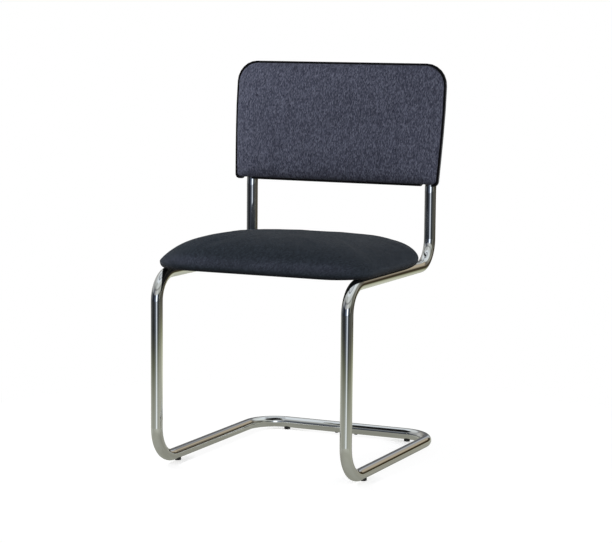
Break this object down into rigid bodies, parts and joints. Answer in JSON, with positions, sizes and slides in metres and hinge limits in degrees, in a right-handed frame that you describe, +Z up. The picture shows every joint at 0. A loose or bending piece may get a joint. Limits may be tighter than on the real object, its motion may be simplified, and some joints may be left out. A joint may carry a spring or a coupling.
{
  "type": "cantilever visitor chair",
  "caption": "Cantilever office visitor chair: bent chromed tube frame on floor glides, crowned fabric seat, and a fabric back pad in a moulded rear shell.",
  "frame": {"origin": "on the floor, under the middle of the frame's box", "axes": "+Z up, the sitter looks towards -Y, +X to the right in a view along +Y from the front"},
  "size_m": [0.505, 0.525, 0.8518],
  "materials": {
    "chromed_tube": "polished",
    "plain_steel": "zinc plated",
    "black_steel": "satin",
    "screw_steel": "polished",
    "glide_plastic": "satin",
    "plug_plastic": "smooth",
    "shell_plastic": "satin, fine grain",
    "plywood": "raw plywood",
    "foam": "open-cell foam",
    "seat_fabric": "woven",
    "back_fabric": "woven",
    "dust_cloth": "non-woven"
  },
  "bodies": {
    "root": {"frame_tube_left": "chromed_tube", "frame_tube_right": "chromed_tube", "lower_joint_sleeve": "plain_steel", "lower_joint_rivets": "black_steel", "upper_joint_sleeve": "plain_steel", "upper_joint_rivets": "black_steel", "front_glides": "glide_plastic", "rear_glides": "glide_plastic", "seat_board": "plywood", "seat_foam": "foam", "seat_cover": "seat_fabric", "seat_dust_cover": "dust_cloth", "seat_tee_nuts": "plain_steel", "seat_screws": "screw_steel", "seat_saddle_washers": "glide_plastic", "rail_hole_plugs": "plug_plastic", "back_shell": "shell_plastic", "back_board": "plywood", "back_foam": "foam", "back_cover": "back_fabric", "back_tee_nuts": "plain_steel", "back_screws": "screw_steel", "back_saddle_washers": "glide_plastic"}
  },
  "joints": []
}
